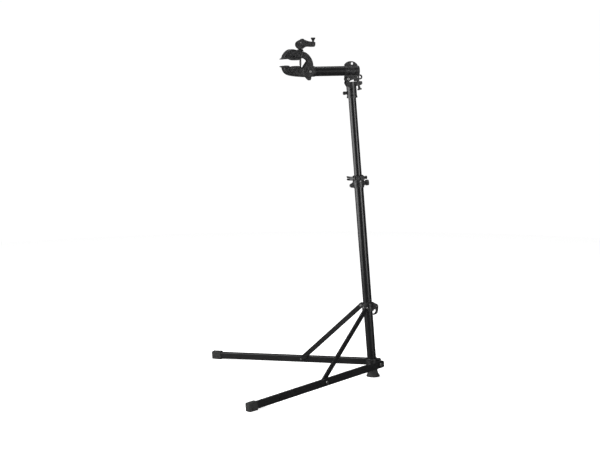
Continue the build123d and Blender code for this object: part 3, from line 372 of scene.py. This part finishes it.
def cut_at_floor(mesh):
    """Cuts a bmesh in the row frame level with the floor and closes it."""
    cut = bmesh.ops.bisect_plane(mesh, geom=mesh.verts[:] + mesh.edges[:] + mesh.faces[:], dist=1e-7,
                                 plane_co=(0, 0, 0), plane_no=(0, 0, 1), clear_inner=True)
    rim = [e for e in cut["geom_cut"] if isinstance(e, bmesh.types.BMEdge)]
    bmesh.ops.contextual_create(mesh, geom=rim)
    return mesh


IDENTITY = Matrix.Identity(4)


# ---- tubes ----
def tube(name, node, place, inner, outer, start, end, lip=0.5, steps=8):
    """A round tube with softened ends, in place of a CAD node."""
    profile = [(inner, start + lip), (inner + lip, start), (outer - lip, start), (outer, start + lip)]
    profile += [(outer, start + lip + (end - start - 2 * lip) * k / steps) for k in range(1, steps)]
    profile += [(outer, end - lip), (outer - lip, end), (inner + lip, end), (inner, end - lip)]
    publish(name, turned(profile, 96, closed=True), place, body_of[node], slot_of[node], (node,))


def along(node, frame_matrix):
    """Lowest and highest z of a CAD node in a frame, in millimetres."""
    inverse = frame_matrix.inverted()
    heights = [(inverse @ v.co).z for v in frame["nodes"][node].data.vertices]
    return min(heights), max(heights)


TUBES = {"lower_mast_tube": (mast, 17.0, 19.0), "upper_mast_tube": (mast, 14.1, 15.9),
         "arm_tube": (arm, 18.0, 20.0)}
for node, (place, inner, outer) in TUBES.items():
    tube(f"{node}_fine", node, place, inner, outer, *along(node, place))

# ---- rubber foot and leg ends ----
foot_flare = curve_through([(28.6, 3), (25.2, 10), (22.6, 18), (21.7, 27), (21.6, 35)], 6)
GROOVES_FROM, GROOVES_TO, GROOVE_PITCH, GROOVE_DEPTH = 17.5, 31, 3.2, 0.7
foot_profile = [(0, -6), (29.5, -6), (29.1, 0.5)]
for radius, height in foot_flare:
    grooved = GROOVES_FROM < height < GROOVES_TO and int(height / GROOVE_PITCH) % 2
    foot_profile.append((radius - GROOVE_DEPTH if grooved else radius, height))
foot_profile += [(21.2, 35.5), (20.6, 35.6), (19.6, 35.6), (19.05, 35.0), (19.05, 10), (0, 10)]
foot = turned(foot_profile, 72)
foot.transform(mast)
bmesh.ops.recalc_face_normals(foot, faces=foot.faces[:])
publish("mast_foot_fine", cut_at_floor(foot), IDENTITY, "base", "rubber_black", ("mast_foot",))


def rounded_rectangle(half_width, half_height, radius, steps=5):
    points = []
    for corner, (sx, sy) in enumerate(((1, 1), (-1, 1), (-1, -1), (1, -1))):
        for k in range(steps + 1):
            angle = (corner + k / steps) * pi / 2
            points.append((sx * (half_width - radius) + radius * cos(angle),
                           sy * (half_height - radius) + radius * sin(angle)))
    return points


def loft(mesh, sections):
    """Joins closed sections of equal count, each (outline, height), and caps both ends."""
    made = [[mesh.verts.new((p[0], p[1], height)) for p in outline] for outline, height in sections]
    for low, high in zip(made, made[1:]):
        band(mesh, low, high)
    mesh.faces.new(made[0][::-1])
    mesh.faces.new(made[-1])
    return mesh


def cap_section(depth, height, corner_share=1.0):
    """The rubber end's outline, depth inside its largest one."""
    outline = rounded_rectangle(CAP_WIDE - depth, CAP_HIGH - depth, CAP_CORNER - depth * corner_share)
    return outline, height


CAP_WIDE, CAP_HIGH, CAP_CORNER = 13, 19, 5
SPIGOT = rounded_rectangle(10.05, 14.55, 3)
SPIGOT_LENGTH, RIBS, RIB_FROM, RIB_PITCH, END_ROUNDING = 38, 6, 5, 5.0, 3.5
RIB_STEPS = ((0, 0), (0.5, 0.9), (1.6, 0.9), (2.1, 0))
cap_start, cap_end = along("leg_cap_right", leg_end_on)
sections = [(SPIGOT, cap_start + SPIGOT_LENGTH), (SPIGOT, cap_start)]
sections += [(rounded_rectangle(12.4, 18.4, 4.6), cap_start), cap_section(0, cap_start + 0.6)]
for rib in range(RIBS):
    at = cap_start + RIB_FROM + rib * RIB_PITCH
    sections += [cap_section(depth, at + offset) for offset, depth in RIB_STEPS]
for k in range(6):
    angle = k / 5 * pi / 2
    sections.append(cap_section(END_ROUNDING * (1 - cos(angle)),
                                cap_end - END_ROUNDING + END_ROUNDING * sin(angle), 0.5))
cap = loft(bmesh.new(), sections)
cap.transform(leg_end_on)
bmesh.ops.recalc_face_normals(cap, faces=cap.faces[:])
cut_at_floor(cap)
for side, mesh in (("left", mirrored(cap)), ("right", cap)):
    publish(f"leg_cap_fine_{side}", mesh, IDENTITY, f"leg_{side}", "rubber_black", (f"leg_cap_{side}",))


# ---- knobs ----
def scallops(count, depth, from_radius):
    """A shape for turned() with that many hollows around everything wider than from_radius."""
    def shape(angle, radius, _height):
        if radius < from_radius:
            return radius
        return radius - depth * (0.5 + 0.5 * cos(count * angle)) ** 3
    return shape


knob_profile = [(0, 19.4), (4, 19.4), (4, 27.4), (6.2, 27.4), (6.2, 30), (10.8, 30), (11.8, 30.4),
                (12.2, 31.2), (12.2, 34.5), (12.2, 38.5), (12.2, 41.4), (11.9, 42.3), (11.0, 42.9),
                (9.4, 43), (8.4, 42.6), (7.9, 41.6), (7.0, 41.2), (4.6, 41.4), (3.9, 42.2), (2.6, 42.7),
                (0, 42.8)]
publish("height_knob_fine", turned(knob_profile, 144, scallops(12, 1.3, 9)),
        placed(joint_at["height_knob_turn"], ACROSS, joint_axis["height_knob_turn"]),
        "height_knob", "plastic_black", ("height_lock_knob",))

tip_profile = [(0, 106), (2.1, 106), (2.5, 106.4), (2.5, 121.2), (4.0, 121.4), (4.4, 121.9), (4.4, 124.6),
               (4.9, 126.2), (6.6, 129.6), (8.6, 133), (9.4, 134.6), (9.6, 135.6), (9.5, 136.8), (8.9, 137.7),
               (7.6, 138.2), (5.6, 138.0), (4.8, 137.0), (0, 136.6)]
tip_place = placed(joint_at["tip_knob_turn"], ACROSS, joint_axis["tip_knob_turn"])
publish("tip_knob_fine", turned(tip_profile, 96, scallops(8, 1.3, 5.6)), tip_place, "tip_knob",
        slot_of["lever_tip_knob"], ("lever_tip_knob",))


# ---- threaded rod and swing bolt ----
def threaded(mesh, crest, root, pitch, start, end, segments=24, per_turn=6):
    """A rod along local z with a real helical thread between start and end."""
    count = int((end - start) / pitch * per_turn)
    profile = [(0, start), (root, start)]
    profile += [(crest, start + (end - start) * k / count) for k in range(1, count)]
    profile += [(root, end), (0, end)]

    def shape(angle, radius, height):
        if radius < crest:
            return radius
        phase = (height / pitch - angle / (2 * pi)) % 1
        return root + (crest - root) * (1 - abs(2 * phase - 1)) ** 0.8
    return lathe(mesh, profile, segments, shape)


def eye(outer, hole, half, chamfer=0.6):
    """A ring across the end of a rod, centred on the local origin."""
    profile = []
    for end in (-half, half):
        inner_edge = end + chamfer if end < 0 else end - chamfer
        around = [(hole, inner_edge), (hole + chamfer, end), (outer - chamfer, end), (outer, inner_edge)]
        profile += around if end < 0 else around[::-1]
    return turned(profile, 48, closed=True)


rod_place = placed(joint_at["crank_turn"], ACROSS, joint_axis["crank_turn"])
rod = threaded(bmesh.new(), crest=3.3, root=2.75, pitch=2.0, start=-14, end=27)
lathe(rod, [(0, 26.5), (3.5, 26.5), (4.1, 27.1), (4.1, 40), (4.1, 60), (4.1, 89.6), (3.5, 90.5),
            (3.3, 90.5), (3.3, 112), (0, 112)], 48)
rod.transform(rod_place)
rod_eye = eye(6.5, 3.2, 5.0)
rod_eye.transform(placed(joint_at["cam_lever_flip"], -arm_dir, VIEWER_SIDE))


def joined(first, second):
    """Adds the second bmesh's geometry to the first."""
    data = bpy.data.meshes.new("joining")
    second.to_mesh(data)
    second.free()
    first.from_mesh(data)
    bpy.data.meshes.remove(data)
    return first


publish("clamp_rod_fine", joined(rod, rod_eye), IDENTITY, "crank", slot_of["clamp_rod"], ("clamp_rod",))

bolt = threaded(bmesh.new(), crest=4.0, root=3.4, pitch=1.5, start=16, end=48)
lathe(bolt, [(0, 3), (3.8, 3), (3.8, 16.2), (0, 16.2)], 24)
bolt.transform(placed(joint_at["tilt_knob_turn"], ACROSS, joint_axis["tilt_knob_turn"]))
bolt_eye = eye(6.5, 2.7, 4.8)
bolt_eye.transform(placed(joint_at["swing_bolt_swing"], mast_out, VIEWER_SIDE))
publish("swing_bolt_fine", joined(bolt, bolt_eye), IDENTITY, "swing_bolt", slot_of["swing_bolt"],
        ("swing_bolt",))


# ---- raised rims on the sides of the jaws ----
def rim(name, outline, face, body, slot, width=5.6, lift=2.6, sink=0.6, margin=0.3):
    """A rounded border just inside the outline, on both side faces at local z = +-face."""
    mesh = bmesh.new()
    area = sum(a[0] * b[1] - b[0] * a[1] for a, b in zip(outline, outline[1:] + outline[:1]))
    if area < 0:  # inset() takes the outline counter-clockwise
        outline = outline[::-1]
    section = [(margin, -sink)]
    section += [(margin + width / 2 * (1 - cos(k * pi / 10)), lift * sin(k * pi / 10)) for k in range(11)]
    section += [(margin + width, -sink)]
    for side in (1, -1):
        rings = []
        for distance, height in section:
            edge = inset(outline, distance)
            rings.append([mesh.verts.new((p[0], p[1], side * (face + height))) for p in edge])
        for low, high in zip(rings, rings[1:] + rings[:1]):
            band(mesh, low, high, flip=side < 0)
    return publish(name, mesh, arm_side, body, slot)


JAW_SIDE = 27.0
upper_seat = curve_through([(-268, 57.6), (-261.4, 59.8), (-253.4, 56.6), (-245.4, 53.8), (-234, 52.8),
                            (-218, 53.6)], 4)
upper_top = curve_through([(-203, 82.6), (-220, 86.8), (-236, 90.4), (-248, 92.3), (-257.5, 90.2),
                           (-266.5, 84.6), (-275, 76), (-280.5, 67), (-283.4, 58.4)], 4)
upper_outline = upper_seat + [(-214, 53.4), (-207.4, 55), (-206.4, 62), (-203.6, 72)] + upper_top
rim("upper_jaw_rim", upper_outline, JAW_SIDE, "arm", "casting_black")

lower_seat = [(-283.4, 16.8), (-275, 18.4), (-267, 19.4), (-261, 18.6), (-258, 15.2), (-255, 11.6),
              (-251, 13.2), (-247, 14.8), (-240, 16.4), (-229, 16.8), (-218, 17.2)]
lower_bottom = curve_through([(-195.4, -21.8), (-210, -21.5), (-224, -20.4), (-240, -18), (-254, -15.2),
                              (-266, -10.6), (-275, -3.6), (-280.8, 6)], 4)
lower_outline = lower_seat + [(-213.4, 17.4), (-206, 20.6), (-200.2, 15), (-199.6, 4), (-199, -6),
                              (-196.6, -13.5)] + lower_bottom
rim("lower_jaw_rim", lower_outline, JAW_SIDE, "lower_jaw", "casting_black")


# ---- grip ridges on the jaw pads ----
def ridges(name, points, half, body, slot, outward, height=0.9, width=1.1):
    """Ridges across the jaws at points of the (x, y) pad face; outward is +1 or -1 in local y."""
    mesh = bmesh.new()
    for here, after in zip(points, points[1:]):
        step = (Vector(after) - Vector(here))
        run = step.normalized()
        up = Vector((-run.y, run.x)) if (run.x > 0) == (outward > 0) else Vector((run.y, -run.x))
        middle = (Vector(here) + Vector(after)) / 2
        section = [middle - run * width - up * 0.5, middle + run * width - up * 0.5,
                   middle + run * width * 0.45 + up * height * 0.8, middle + up * height,
                   middle - run * width * 0.45 + up * height * 0.8]
        ends = [[mesh.verts.new((p.x, p.y, z)) for p in section] for z in (-half, half)]
        band(mesh, *ends)
        mesh.faces.new(ends[0][::-1])
        mesh.faces.new(ends[1])
    return publish(name, mesh, arm_side, body, slot)


def every(points, step):
    """Points along a polyline, about step apart."""
    out = [points[0]]
    for a, b in zip(points, points[1:]):
        count = max(1, round((Vector(b) - Vector(a)).length / step))
        out += [tuple(Vector(a).lerp(Vector(b), k / count)) for k in range(1, count + 1)]
    return out


upper_face = curve_through([(-268, 52.0), (-261.4, 54.2), (-253.4, 51.0), (-245.4, 48.2), (-234, 47.2),
                            (-218, 48.0)], 3)
lower_face = [(-288, 23.8), (-267, 25.6), (-261, 24.9), (-255, 17.6), (-247, 20.8), (-240, 22.4),
              (-219, 23.0)]
RIDGE_STEP, RIDGE_HALF = 3.0, 26
ridges("upper_pad_ridges", every(upper_face, RIDGE_STEP), RIDGE_HALF, "arm", "jaw_pad", -1)
ridges("lower_pad_ridges", every(lower_face, RIDGE_STEP), RIDGE_HALF, "lower_jaw", "jaw_pad", 1)

# ---- camera, light and floor ----
SENSOR_WIDTH, LENS = 36.0, 82.25
CAMERA_AT = (-1.43196, -5.54463, 1.33233)
LOOKS_DOWN, TURNED = 6.83, -11.37
camera_data = bpy.data.cameras.new("camera")
camera_data.sensor_width = SENSOR_WIDTH
camera_data.lens = LENS
camera_data.clip_end = 100
camera = bpy.data.objects.new("camera", camera_data)
camera.location = CAMERA_AT
camera.rotation_euler = (radians(90 - LOOKS_DOWN), 0, radians(TURNED))
scene.collection.objects.link(camera)
scene.camera = camera


def soft_box(name, place, target, width, height, power):
    light = bpy.data.lights.new(name, "AREA")
    light.shape = "RECTANGLE"
    light.size = width
    light.size_y = height
    light.energy = power
    lamp = bpy.data.objects.new(name, light)
    lamp.location = place
    lamp.rotation_euler = (Vector(target) - Vector(place)).to_track_quat("-Z", "Y").to_euler()
    lamp.visible_camera = False
    scene.collection.objects.link(lamp)


MID_STAND, HEAD_OF_STAND = (-0.1, 0, 0.85), (-0.2, 0, 1.1)
soft_box("right_box", (2.1, -3.3, 1.25), MID_STAND, width=1.7, height=2.6, power=62)
soft_box("left_wall", (-3.0, -0.2, 1.1), MID_STAND, width=3.4, height=2.6, power=95)
soft_box("top_box", (-0.7, 0.3, 3.2), HEAD_OF_STAND, width=1.2, height=1.2, power=60)

world = bpy.data.worlds.new("studio")
world.use_nodes = True
scene.world = world
links = world.node_tree.links
surround = world.node_tree.nodes["Background"]
surround.inputs["Color"].default_value = (1, 1, 1, 1)
rays = world.node_tree.nodes.new("ShaderNodeLightPath")


def level_for(ray, when_true, otherwise):
    """A brightness for that kind of ray, and another number or output for the rest."""
    node = world.node_tree.nodes.new("ShaderNodeMix")
    links.new(rays.outputs[ray], node.inputs["Factor"])
    node.inputs["B"].default_value = when_true
    if isinstance(otherwise, bpy.types.NodeSocket):
        links.new(otherwise, node.inputs["A"])
    else:
        node.inputs["A"].default_value = otherwise
    return node.outputs["Result"]


STUDIO_LEVEL, BACKDROP_LEVEL, REFLECTED_LEVEL = 0.2, 1.02, 0.04
unseen_level = level_for("Is Glossy Ray", REFLECTED_LEVEL, STUDIO_LEVEL)
links.new(level_for("Is Camera Ray", BACKDROP_LEVEL, unseen_level), surround.inputs["Strength"])

FLOOR_RADIUS, FLOOR_DROP, FLOOR_GLOW = 5.0, 0.0004, 0.75
floor_mesh = bmesh.new()
bmesh.ops.create_circle(floor_mesh, cap_ends=True, segments=96, radius=FLOOR_RADIUS)
floor_data = bpy.data.meshes.new("floor")
floor_mesh.to_mesh(floor_data)
floor_mesh.free()
floor = bpy.data.objects.new("floor", floor_data)
floor.location = (0, 0, -FLOOR_DROP)
scene.collection.objects.link(floor)
paper = Paint("studio_floor", (0.9, 0.9, 0.9), 0.75)
paper.colour_from(paper.mix(paper.noise(3, 2), (0.88, 0.88, 0.88), (0.92, 0.92, 0.92)))
paper.shader.inputs["Emission Color"].default_value = (1, 1, 1, 1)
paper.shader.inputs["Emission Strength"].default_value = FLOOR_GLOW
floor_data.materials.append(paper.material)
floor.visible_glossy = False

scene.view_settings.view_transform = "Standard"
